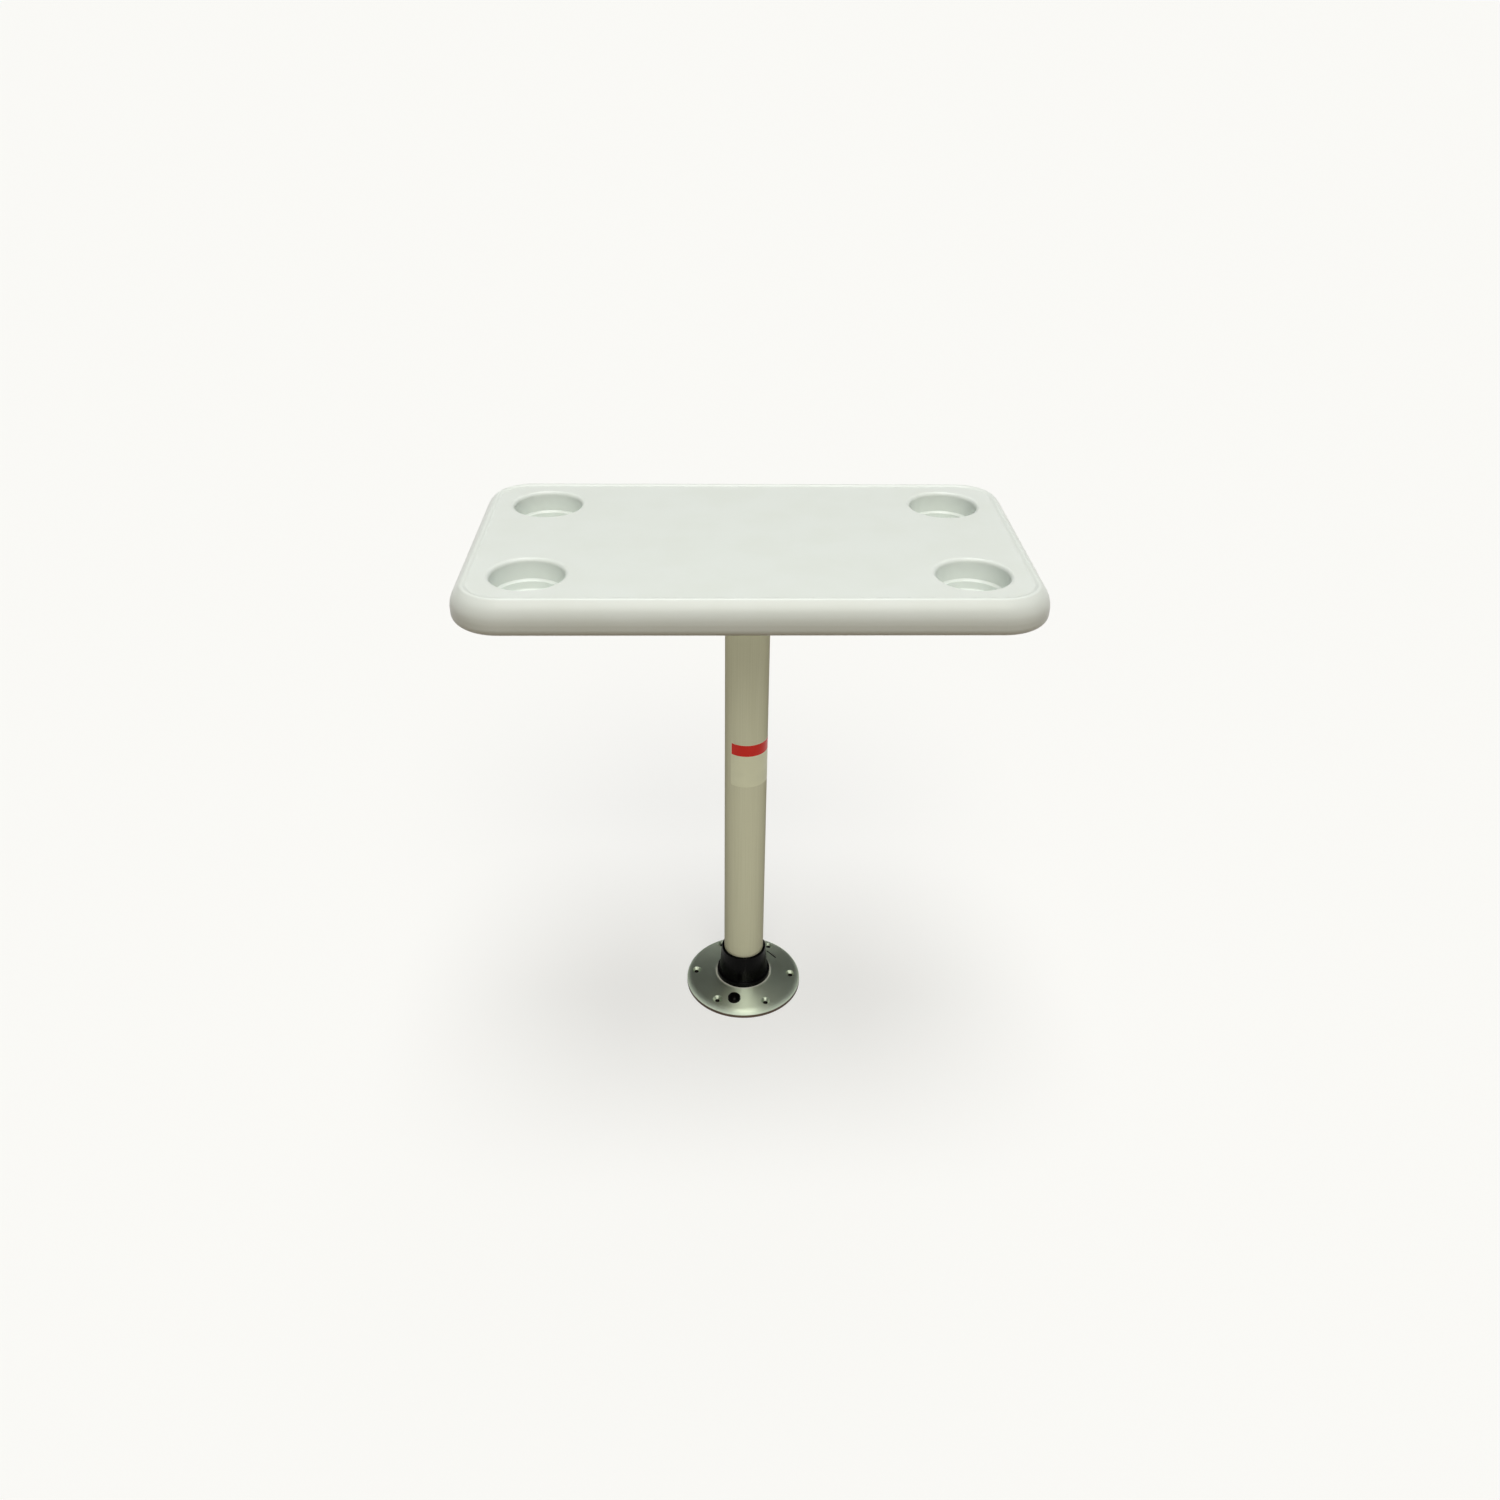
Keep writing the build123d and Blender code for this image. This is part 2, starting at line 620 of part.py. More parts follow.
def table_top():
    """Moulded top in place, with its cup wells and the pilot holes for the plate's screws."""
    top = slab() - under_recess()
    cup = cup_cut()
    for place in cup_places():
        top -= place * cup
    top = Pos(0, 0, UNDERSIDE_HEIGHT) * top
    pilot = disc(PLATE_SCREW_R + SCREW_FIT, -PLATE_SCREW_BITE, PAST)
    for place in around(HOLE_COUNT, HOLE_CIRCLE, HOLE_START_ANGLE):
        top -= UNDER_TABLE * place * pilot
    return top


def plate_screws():
    """Countersunk screws that hold the table plate to the top."""
    head_r = HOLE_SINK_R - SCREW_FIT
    screw = flat_screw(head_r, PLATE_SCREW_R, HOLE_FACE_Z - SCREW_FIT, SCREW_FIT - PLATE_SCREW_BITE)
    return group(place * screw for place in around(HOLE_COUNT, HOLE_CIRCLE, HOLE_START_ANGLE))


# The assembly: the same mount stands on the floor and hangs under the top, turned so that the holes
# of both plates line up

UPSIDE_DOWN = Pos(0, 0, UNDERSIDE_HEIGHT) * Rot(0, 180, 0)
UNDER_TABLE = UPSIDE_DOWN * Rot(0, 0, -2 * HOLE_START_ANGLE)

MOUNT_PIECES = {
    "plate": plate,
    "socket": socket,
    "socket_screws": socket_screws,
    "latch_cover": latch_cover,
    "cover_screws": cover_screws,
    "latch_spring": latch_spring,
    "button": button,
    "latch_bolt": latch_bolt,
}
POST_PIECES = {"plug": plug, "cross_pin": cross_pin}


def assembly():
    """Every piece in place, by name."""
    pieces = {"table_top": table_top(), "post_tube": post_tube()}
    pieces["table_plate_screws"] = UNDER_TABLE * plate_screws()
    for name, make in MOUNT_PIECES.items():
        piece = make()
        pieces["floor_" + name] = piece
        pieces["table_" + name] = UNDER_TABLE * piece
    for name, make in POST_PIECES.items():
        piece = make()
        pieces["lower_" + name] = piece
        pieces["upper_" + name] = UPSIDE_DOWN * piece
    return pieces


os.makedirs("parts", exist_ok=True)
for node, piece in assembly().items():
    export_step(piece, "parts/" + node + ".step")
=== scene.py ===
"""Looks of a single pole camper table: finishes, leaf springs, a plain label and a plain stage."""
from math import cos, pi, radians, sin

import bmesh
import bpy
from bpy.props import FloatProperty, FloatVectorProperty, PointerProperty
from mathutils import Matrix, Vector


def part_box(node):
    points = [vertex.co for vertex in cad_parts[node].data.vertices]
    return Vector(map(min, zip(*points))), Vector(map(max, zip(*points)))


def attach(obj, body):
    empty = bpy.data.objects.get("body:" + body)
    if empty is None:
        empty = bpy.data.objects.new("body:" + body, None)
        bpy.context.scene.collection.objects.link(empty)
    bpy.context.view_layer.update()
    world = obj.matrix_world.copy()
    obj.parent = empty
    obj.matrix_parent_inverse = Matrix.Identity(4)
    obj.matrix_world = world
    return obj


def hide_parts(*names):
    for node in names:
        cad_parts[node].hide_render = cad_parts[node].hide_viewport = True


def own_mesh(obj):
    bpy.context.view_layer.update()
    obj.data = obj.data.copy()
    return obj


bl_info = {
    "name": "Single Pole Camper Table",
    "version": (1, 0, 0),
    "blender": (4, 5, 0),
    "location": "3D View > Sidebar > Camper Table",
    "description": "Finishes, springs, label and stage for a moulded table top on one tube",
    "category": "Object",
}

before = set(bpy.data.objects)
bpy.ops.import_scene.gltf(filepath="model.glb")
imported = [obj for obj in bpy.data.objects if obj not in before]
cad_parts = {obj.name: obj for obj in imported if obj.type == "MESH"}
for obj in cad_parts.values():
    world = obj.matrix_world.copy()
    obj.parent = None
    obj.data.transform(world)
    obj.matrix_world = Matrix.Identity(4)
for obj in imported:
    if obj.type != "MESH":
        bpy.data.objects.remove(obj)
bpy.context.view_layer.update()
MM = 0.001

TUBE_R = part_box("post_tube")[1].x
PLATE_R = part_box("floor_plate")[1].x
SOCKET_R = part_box("floor_socket")[1].x
MOUNT_BODIES = {"floor": "floor_base", "table": "table"}

# Radii between which the rings of a plate's painted rim shade, seat highlight and bore shade fade in
PLATE_RINGS = {
    "Edge": (PLATE_R - 0.9 * MM, PLATE_R - 0.4 * MM),
    "Seat": (SOCKET_R + 2.9 * MM, SOCKET_R + 2.4 * MM),
    "Inside": (PLATE_R - 8 * MM, PLATE_R - 9 * MM),
    "Middle": (PLATE_R - 22 * MM, PLATE_R - 23 * MM),
}
# Heights over a plate's foot between which the painted shade on its rim and in its bores fades in
RIM_SHADE_HEIGHTS = (5.4 * MM, 4.6 * MM)
BORE_SHADE_HEIGHTS = (10.6 * MM, 9.8 * MM)
# How much higher the painted shade in the bores reaches in a plate's middle
MIDDLE_RISE = 4.4 * MM
# Radii between which the floor goes from dark under the plate to pale
FLOOR_RADII = (PLATE_R - 6 * MM, PLATE_R - 2 * MM)
FLOOR_SIDES = 96

LABEL_STRIPS = 48
LABEL_CORNER_STEPS = 6
FILM_MOTTLE = 0.97
SHARP_BEND = radians(30)
MERGE_GAP = 0.001 * MM
CAMERA_FRAME_MM = 36
WHITE = (1, 1, 1)
DARK = (0, 0, 0)


def srgb(red, green, blue):
    """Linear colour of an eight bit screen colour."""
    shares = [value / 255 for value in (red, green, blue)]
    return tuple(s / 12.92 if s <= 0.04045 else ((s + 0.055) / 1.055) ** 2.4 for s in shares)


def colour(name, description, value):
    """Colour property with its default."""
    return FloatVectorProperty(
        name=name, description=description, subtype="COLOR", min=0, max=1, default=value
    )


def spot(name, description, value):
    """Place property in metres with its default."""
    return FloatVectorProperty(name=name, description=description, subtype="TRANSLATION", default=value)


def length(name, description, value):
    """Length property in metres with its default."""
    return FloatProperty(
        name=name, description=description, subtype="DISTANCE", unit="LENGTH", default=value
    )


def turn(name, description, degrees):
    """Angle property with its default in degrees."""
    return FloatProperty(name=name, description=description, subtype="ANGLE", default=radians(degrees))


def share(name, description, value):
    """Property from 0 to 1 with its default."""
    return FloatProperty(
        name=name, description=description, subtype="FACTOR", min=0, max=1, default=value
    )


def level(name, description, value):
    """Property for a level of light with its default."""
    return FloatProperty(name=name, description=description, min=0, default=value)


class FinishSettings(bpy.types.PropertyGroup):
    """Colours of the table's materials, and of the shade, highlight and reflection painted on them"""

    top: colour("Top", "Off-white of the moulded top", srgb(227, 233, 229))
    top_shade: colour("Top Mottle", "Slightly darker off-white of the mottle", srgb(225, 231, 226))
    tube: colour("Tube", "Champagne grey of the anodised tube", srgb(224, 225, 198))
    # Painted reflection: brown tint of the tube's glancing reflections, standing in for a brown floor's
    # reflection
    tube_reflection_tint: colour("Tube Reflection Tint", "Dull brown that the tube takes at a glancing angle", srgb(96, 78, 48))
    tube_dark: colour("Tube Lines", "Darker drawn lines along the tube", srgb(218, 219, 191))
    plate: colour("Plate", "Pale metallic grey-green of the plates", srgb(236, 248, 230))
    plate_dark: colour("Plate Rings", "Darker turned rings of the plates", srgb(224, 236, 216))
    # Painted highlight: pale ring on the plates round each socket
    plate_seat_highlight: colour("Plate Seat Highlight", "Pale ring of the plates round each socket", srgb(236, 240, 228))
    # Painted shade: near black in the plates' holes and under their hollow middle
    plate_bore_shade: colour("Plate Bore Shade", "Dark of the plates' holes and hollow", srgb(30, 26, 20))
    # Painted shade: dull brown grey on the plates' rims, standing in for a dark reflection there
    plate_rim_shade: colour("Plate Rim Shade", "Dull brown grey of the plates' raw edges", srgb(104, 88, 74))
    black: colour("Black", "Black of the sockets, buttons, covers and plugs", srgb(5, 5, 5))
    black_worn: colour("Black Scuff", "Grey of scuffs on the black plastic", srgb(26, 26, 25))
    steel: colour("Steel", "Stainless steel of the screws", srgb(188, 188, 184))
    zinc: colour("Zinc", "Plated steel of the bolts, springs and pins", srgb(178, 176, 164))
    zinc_tint: colour("Zinc Tint", "Warm tint in the plating", srgb(190, 178, 138))
    label_panel: colour("Label Panel", "Pale field of the label", srgb(232, 234, 204))
    label_stripe: colour("Label Stripe", "Red field of the label", srgb(220, 40, 26))


class LabelSettings(bpy.types.PropertyGroup):
    """Place and size of the plain label on the tube"""

    low: length("Low Edge", "Height of the label's low edge", 0.386)
    high: length("High Edge", "Height of the label's high edge", 0.456)
    stripe: length("Stripe", "Height of the red field along the high edge", 0.019)
    start: turn("Start", "Angle of the left edge, from the front", -46)
    sweep: turn("Sweep", "Angle that the label covers round the tube", 140)
    margin: length("Margin", "Pale margin round the red field", 0.0012)
    corner: length("Corner", "Radius of the label's corners", 0.003)
    thickness: length("Thickness", "Thickness of the film", 0.00012)
    lift: length("Lift", "Gap between the tube and the film", 0.00004)


class StageSettings(bpy.types.PropertyGroup):
    """Camera, floor, backdrop and lamps"""

    camera_place: spot("Camera", "Place of the camera", (-0.04579, -1.47682, 1.35377))
    camera_pitch: turn("Pitch", "Angle of the view below level", 32.028)
    camera_yaw: turn("Yaw", "Angle of the view to the right", 1.988)
    camera_roll: turn("Roll", "Turn of the camera about its view", 0.837)
    lens: FloatProperty(
        name="Lens", description="Focal length on a 36 mm frame", unit="CAMERA", default=29.63
    )
    floor: colour("Floor", "Pale floor", srgb(246, 246, 244))
    floor_glow: share("Floor Glow", "Share of the floor's paleness that shade leaves", 0.65)
    floor_bounce: colour("Floor Bounce", "Floor as the light that it throws back sees it", srgb(108, 92, 66))
    floor_r: length("Floor Radius", "Radius of the floor", 200.0)
    ambient: level("Ambient", "Level of the soft light from all round", 0.56)
    light_tint: colour("Light Tint", "Colour of the light from the front and all round", (1.0, 0.965, 0.88))
    side_fall: share("Side Fall", "Share of the soft light that the sides lack", 0.9)
    side_lean: share("Side Lean", "Shift of the soft light to the right", 0.05)
    side_start: share("Side Start", "How far aside the soft light begins to fall", 0.05)
    side_end: share("Side End", "How far aside the soft light is weakest", 0.45)
    backdrop: level("Backdrop", "Level of the white backdrop", 0.955)
    ceiling: level("Ceiling", "Level of the backdrop overhead, in reflections", 0.03)
    backdrop_low: turn("Backdrop Low", "Height up to which reflections show a white backdrop", 4)
    backdrop_high: turn("Backdrop High", "Height from which reflections show a dark one", 14)
    backdrop_tilt: share("Backdrop Tilt", "How much lower the backdrop ends behind", 0.12)
    key: level("Key", "Strength of the lamp in front", 1.15)
    key_place: spot("Key Place", "Place that the light in front comes from", (0.2, -2.0, 2.6))
    key_spread: turn("Key Spread", "Angle that the lamp in front fills", 34)
    glint: level("Glint", "Strength of the small lamp behind", 0.06)
    glint_place: spot("Glint Place", "Place that the light behind comes from", (0.3, 1.0, 1.45))
    glint_spread: turn("Glint Spread", "Angle that the lamp behind fills", 16)
    overhead: level("Overhead", "Strength of the lamp above", 1.85)
    overhead_place: spot("Overhead Place", "Place that the light above comes from", (0.05, 0.1, 3.0))
    overhead_spread: turn("Overhead Spread", "Angle that the lamp above fills", 30)


SETTINGS = {
    "camper_finish": FinishSettings,
    "camper_label": LabelSettings,
    "camper_stage": StageSettings,
}


# Node helpers


def feed(tree, source, target):
    """Give an input socket another socket's value, or a number or colour."""
    if isinstance(source, bpy.types.NodeSocket):
        tree.links.new(source, target)
    elif target.type == "RGBA":
        target.default_value = (*source, 1)
    else:
        target.default_value = source


def add(tree, kind, **values):
    """New shader node with its properties in lower case, and its inputs with a capital."""
    node = tree.nodes.new("ShaderNode" + kind)
    for key, value in values.items():
        if key[0].islower():
            setattr(node, key, value)
        else:
            feed(tree, value, node.inputs[key.replace("_", " ")])
    return node


def calculate(tree, operation, *terms):
    """Result of a sum on sockets and numbers."""
    node = add(tree, "Math", operation=operation)
    for term, socket in zip(terms, node.inputs):
        feed(tree, term, socket)
    return node.outputs["Value"]


def ramp(tree, source, low, high):
    """Smooth mask that goes from 0 to 1 between two values of a source."""
    node = add(tree, "MapRange", interpolation_type="SMOOTHSTEP", Value=source, From_Min=low, From_Max=high)
    return node.outputs["Result"]


def grade(tree, mask, low, high):
    """Value that goes with a mask from one number or socket to another."""
    return add(tree, "MapRange", Value=mask, To_Min=low, To_Max=high).outputs["Result"]


def blend(tree, mask, low, high):
    """Colour that goes with a mask from one colour or socket to another."""
    mix = add(tree, "Mix", data_type="RGBA", Factor=mask)
    ends = [socket for socket in mix.inputs if socket.type == "RGBA"]
    for shade, socket in zip((low, high), ends):
        feed(tree, shade, socket)
    return next(socket for socket in mix.outputs if socket.type == "RGBA")


def noise(tree, vector, scale, detail, stretch=None):
    """Noise on a vector, stretched by a factor along each axis."""
    if stretch:
        vector = add(tree, "Mapping", Vector=vector, Scale=stretch).outputs["Vector"]
    return add(tree, "TexNoise", Vector=vector, Scale=scale, Detail=detail).outputs["Fac"]


def bump(tree, height, strength, distance):
    """Normal from a height."""
    return add(tree, "Bump", Height=height, Strength=strength, Distance=distance).outputs["Normal"]


def own_place(tree):
    """Coordinates of a piece itself."""
    return add(tree, "TexCoord").outputs["Object"]


def axis_distance(tree, vector):
    """Distance of a place from the tube's axis."""
    flat = add(tree, "VectorMath", operation="MULTIPLY", Vector=vector)
    feed(tree, (1, 1, 0), flat.inputs[1])
    return add(tree, "VectorMath", operation="LENGTH", Vector=flat.outputs["Vector"]).outputs["Value"]


def new_group(name, inputs, outputs):
    """Shader node group on a vector, with its number inputs and their defaults, and its number outputs."""
    tree = bpy.data.node_groups.new(name, "ShaderNodeTree")
    tree.interface.new_socket(name="Vector", in_out="INPUT", socket_type="NodeSocketVector")
    for label, value in inputs.items():
        socket = tree.interface.new_socket(name=label, in_out="INPUT", socket_type="NodeSocketFloat")
        socket.default_value = value
    for label in outputs:
        tree.interface.new_socket(name=label, in_out="OUTPUT", socket_type="NodeSocketFloat")
    return tree, tree.nodes.new("NodeGroupInput").outputs, tree.nodes.new("NodeGroupOutput").inputs


def grain_group(name):
    """Fine moulded grain with a slow mottle."""
    tree, start, end = new_group(name, {"Grain": 900.0, "Mottle": 14.0}, ["Height", "Mottle"])
    fine = noise(tree, start["Vector"], scale=start["Grain"], detail=3.0)
    slow = noise(tree, start["Vector"], scale=start["Mottle"], detail=4.0)
    feed(tree, fine, end["Height"])
    feed(tree, ramp(tree, slow, low=0.35, high=0.7), end["Mottle"])
    return tree


def scuff_group(name):
    """Thin scratches and soft rubbed patches."""
    tree, start, end = new_group(name, {"Size": 60.0}, ["Scratches", "Rubbed"])
    lines = noise(tree, start["Vector"], scale=start["Size"], detail=6.0, stretch=(1.0, 1.0, 0.12))
    patches = noise(tree, start["Vector"], scale=25.0, detail=3.0)
    feed(tree, ramp(tree, lines, low=0.66, high=0.72), end["Scratches"])
    feed(tree, ramp(tree, patches, low=0.45, high=0.75), end["Rubbed"])
    return tree


def turning_group(name):
    """Concentric turning marks about the tube's axis, with masks of a plate's rings."""
    tree, start, end = new_group(name, {"Rings": 900.0}, ["Height", "Tone", *PLATE_RINGS])
    radius = axis_distance(tree, start["Vector"])
    marks = add(tree, "TexNoise", noise_dimensions="1D", W=radius, Scale=start["Rings"], Detail=4.0)
    height = marks.outputs["Fac"]
    cloud = noise(tree, start["Vector"], scale=30.0, detail=4.0)
    feed(tree, height, end["Height"])
    feed(tree, ramp(tree, calculate(tree, "MULTIPLY", height, cloud), low=0.0, high=0.6), end["Tone"])
    for ring, radii in PLATE_RINGS.items():
        feed(tree, ramp(tree, radius, *radii), end[ring])
    return tree


GROUPS = {
    "Moulded Grain": grain_group,
    "Handling Scuffs": scuff_group,
    "Turning Marks": turning_group,
}


def group_node(tree, name, **values):
    """Outputs of a node group, made on its first use, on the piece's own coordinates."""
    node = tree.nodes.new("ShaderNodeGroup")
    node.node_tree = bpy.data.node_groups.get(name) or GROUPS[name](name)
    feed(tree, own_place(tree), node.inputs["Vector"])
    for key, value in values.items():
        feed(tree, value, node.inputs[key])
    return node.outputs


def start_material(name, **values):
    """Principled material with the values that are the same all over it, and its shader's inputs."""
    material = bpy.data.materials.new(name)
    material.use_nodes = True
    tree = material.node_tree
    shader = tree.nodes["Principled BSDF"].inputs
    for key, value in values.items():
        feed(tree, value, shader[key.replace("_", " ")])
    return material, tree, shader


# Materials


def moulded_top(finish):
    """Off-white moulded plastic with a fine grain."""
    material, tree, shader = start_material("moulded_top", Specular_IOR_Level=0.3, Roughness=0.3)
    grain = group_node(tree, "Moulded Grain", Grain=1100.0, Mottle=16.0)
    feed(tree, blend(tree, grain["Mottle"], finish.top, finish.top_shade), shader["Base Color"])
    feed(tree, bump(tree, grain["Height"], strength=0.03, distance=0.4 * MM), shader["Normal"])
    return material


def anodised_tube(finish):
    """Satin anodised tube with drawn lines along it, and a painted brown reflection tint at glancing angles.
    """
    material, tree, shader = start_material(
        "anodised_tube", Metallic=0.32, Specular_IOR_Level=0.12, Specular_Tint=finish.tube_reflection_tint
    )
    lines = noise(tree, own_place(tree), scale=1600.0, detail=3.0, stretch=(1.0, 1.0, 0.004))
    drawn = ramp(tree, lines, low=0.3, high=0.7)
    feed(tree, blend(tree, drawn, finish.tube, finish.tube_dark), shader["Base Color"])
    feed(tree, grade(tree, drawn, low=0.36, high=0.46), shader["Roughness"])
    feed(tree, bump(tree, lines, strength=0.05, distance=0.2 * MM), shader["Normal"])
    return material


def turned_plate(finish, name, foot_z):
    """Satin plate with faint turning rings, painted shade on its rim and in its bores near its foot, and a
    painted highlight round its socket.
    """
    material, tree, shader = start_material(name, Anisotropic=0.8, Anisotropic_Rotation=0.25)
    rings = group_node(tree, "Turning Marks", Rings=1400.0)
    along_axis = add(tree, "SeparateXYZ", Vector=own_place(tree)).outputs["Z"]
    height = calculate(tree, "ABSOLUTE", calculate(tree, "SUBTRACT", along_axis, foot_z))
    # Painted shade on the rim: dark brown grey low on the plate's outer edge
    edge = calculate(tree, "MULTIPLY", ramp(tree, height, *RIM_SHADE_HEIGHTS), rings["Edge"])
    # Painted shade in the bores and under the hollow middle
    bore_shade_height = calculate(tree, "MULTIPLY_ADD", rings["Middle"], -MIDDLE_RISE, height)
    bore_shade = calculate(tree, "MULTIPLY", ramp(tree, bore_shade_height, *BORE_SHADE_HEIGHTS), rings["Inside"])
    face = blend(tree, rings["Tone"], finish.plate, finish.plate_dark)
    # Painted highlight: pale, less metallic ring round the socket
    seat_highlighted = blend(tree, rings["Seat"], face, finish.plate_seat_highlight)
    with_rim_shade = blend(tree, edge, seat_highlighted, finish.plate_rim_shade)
    feed(tree, blend(tree, bore_shade, with_rim_shade, finish.plate_bore_shade), shader["Base Color"])
    # Less metallic where the rim shade, seat highlight and bore shade are painted
    painted_marks = calculate(tree, "MAXIMUM", calculate(tree, "MAXIMUM", edge, rings["Seat"]), bore_shade)
    feed(tree, grade(tree, painted_marks, low=0.96, high=0.3), shader["Metallic"])
    feed(tree, grade(tree, rings["Tone"], low=0.54, high=0.6), shader["Roughness"])
    feed(tree, bump(tree, rings["Height"], strength=0.03, distance=0.2 * MM), shader["Normal"])
    return material


def black_plastic(finish):
    """Black moulded plastic with a soft gloss and light scuffs."""
    material, tree, shader = start_material("black_plastic", Specular_IOR_Level=0.07)
    scuffs = group_node(tree, "Handling Scuffs", Size=90.0)
    grain = group_node(tree, "Moulded Grain", Grain=1600.0, Mottle=40.0)
    feed(tree, blend(tree, scuffs["Scratches"], finish.black, finish.black_worn), shader["Base Color"])
    feed(tree, grade(tree, scuffs["Rubbed"], low=0.24, high=0.36), shader["Roughness"])
    feed(tree, bump(tree, grain["Height"], strength=0.05, distance=0.3 * MM), shader["Normal"])
    return material


def screw_steel(finish):
    """Stainless steel screws."""
    material, tree, shader = start_material("screw_steel", Metallic=1.0)
    scuffs = group_node(tree, "Handling Scuffs", Size=240.0)
    feed(tree, blend(tree, scuffs["Rubbed"], finish.steel, finish.zinc), shader["Base Color"])
    feed(tree, grade(tree, scuffs["Rubbed"], low=0.22, high=0.36), shader["Roughness"])
    return material


def plated_steel(finish):
    """Plated steel of the bolts, springs and pins, with a warm tint in the plating."""
    material, tree, shader = start_material("plated_steel", Metallic=1.0)
    grain = group_node(tree, "Moulded Grain", Grain=500.0, Mottle=90.0)
    feed(tree, blend(tree, grain["Mottle"], finish.zinc, finish.zinc_tint), shader["Base Color"])
    feed(tree, grade(tree, grain["Mottle"], low=0.28, high=0.42), shader["Roughness"])
    return material


def printed_film(name, shade):
    """Printed foil with a slight mottle."""
    material, tree, shader = start_material(name, Metallic=0.3, Specular_IOR_Level=0.3)
    grain = group_node(tree, "Moulded Grain", Grain=1500.0, Mottle=60.0)
    darker = [FILM_MOTTLE * part for part in shade]
    feed(tree, blend(tree, grain["Mottle"], shade, darker), shader["Base Color"])
    feed(tree, grade(tree, grain["Mottle"], low=0.3, high=0.4), shader["Roughness"])
    return material


# Pieces


def dress(names, material):
    """Give CAD pieces a material in all their slots."""
    for name in names:
        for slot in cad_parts[name].material_slots:
            slot.material = material


def both(*names):
    """Names of a mount's pieces on the floor and under the top."""
    return [side + "_" + name for side in MOUNT_BODIES for name in names]


def make_object(name, build, materials):
    """Finished mesh object at the origin."""
    mesh = bpy.data.meshes.new(name)
    build.normal_update()
    build.to_mesh(mesh)
    build.free()
    for material in materials:
        mesh.materials.append(material)
    piece = bpy.data.objects.new(name, mesh)
    bpy.context.scene.collection.objects.link(piece)
    return piece


def smooth_bends(build):
    """Smooth shading with sharp corners left sharp."""
    for face in build.faces:
        face.smooth = True
    for edge in build.edges:
        edge.smooth = edge.calc_face_angle(0) < SHARP_BEND


def label_mesh(label):
    """Film with round corners, cut into narrow strips and bent round the tube."""
    bend_r = TUBE_R + label.lift
    half_width = label.sweep * bend_r / 2
    half_height = (label.high - label.low) / 2
    build = bmesh.new()
    bmesh.ops.create_grid(build, x_segments=1, y_segments=1, size=1.0)
    bmesh.ops.scale(build, vec=(half_width, half_height, 1.0), verts=build.verts)
    bmesh.ops.bevel(
        build,
        geom=build.verts[:],
        offset=label.corner,
        affect="VERTICES",
        segments=LABEL_CORNER_STEPS,
        profile=0.5,
        material=-1,
    )
    stripe_y = half_height - label.stripe
    field_x, field_y = half_width - label.margin, half_height - label.margin
    across, upright = Vector((1, 0, 0)), Vector((0, 1, 0))
    strip_ends = [2 * step / LABEL_STRIPS - 1 for step in range(1, LABEL_STRIPS)]
    cuts = [(half_width * strip_end, across) for strip_end in strip_ends]
    cuts += [(stripe_y, upright), (field_y, upright), (-field_x, across), (field_x, across)]
    for reach, normal in cuts:
        everything = build.verts[:] + build.edges[:] + build.faces[:]
        bmesh.ops.bisect_plane(build, geom=everything, plane_co=normal * reach, plane_no=normal)
    for face in build.faces:
        middle = face.calc_center_median()
        face.material_index = int(stripe_y < middle.y < field_y and abs(middle.x) < field_x)
    facing = label.start + label.sweep / 2
    for vert in build.verts:
        angle = facing + vert.co.x / bend_r
        vert.co = Vector((bend_r * sin(angle), -bend_r * cos(angle), vert.co.y + half_height + label.low))
    bmesh.ops.recalc_face_normals(build, faces=build.faces)
    sample = build.faces[:][0]
    if sample.normal.dot(sample.calc_center_median() * Vector((1, 1, 0))) < 0:
        bmesh.ops.reverse_faces(build, faces=build.faces)
    bmesh.ops.solidify(build, geom=build.faces, thickness=-label.thickness)
    smooth_bends(build)
    return build


class CAMPERTABLE_OT_finish_top(bpy.types.Operator):
    """Finish the moulded top"""

    bl_idname = "campertable.finish_top"
    bl_label = "Finish Top"

    def execute(self, context):
        dress(["table_top"], moulded_top(context.scene.camper_finish))
        return {"FINISHED"}


class CAMPERTABLE_OT_finish_tube(bpy.types.Operator):
    """Finish the tube"""

    bl_idname = "campertable.finish_tube"
    bl_label = "Finish Tube"

    def execute(self, context):
        dress(["post_tube"], anodised_tube(context.scene.camper_finish))
        return {"FINISHED"}


class CAMPERTABLE_OT_finish_mounts(bpy.types.Operator):
    """Finish the two plates with their sockets, buttons and covers, and the tube's plugs"""

    bl_idname = "campertable.finish_mounts"
    bl_label = "Finish Mounts"

    def execute(self, context):
        finish = context.scene.camper_finish
        dress(["floor_plate"], turned_plate(finish, "floor_plate_satin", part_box("floor_plate")[0].z))
        dress(["table_plate"], turned_plate(finish, "table_plate_satin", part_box("table_plate")[1].z))
        dress(both("socket", "button", "latch_cover") + ["lower_plug", "upper_plug"], black_plastic(finish))
        return {"FINISHED"}


class CAMPERTABLE_OT_finish_hardware(bpy.types.Operator):
    """Finish the screws, bolts and pins"""

    bl_idname = "campertable.finish_hardware"
    bl_label = "Finish Hardware"

    def execute(self, context):
        finish = context.scene.camper_finish
        dress(both("socket_screws", "cover_screws") + ["table_plate_screws"], screw_steel(finish))
        dress(both("latch_bolt") + ["lower_cross_pin", "upper_cross_pin"], plated_steel(finish))
        return {"FINISHED"}


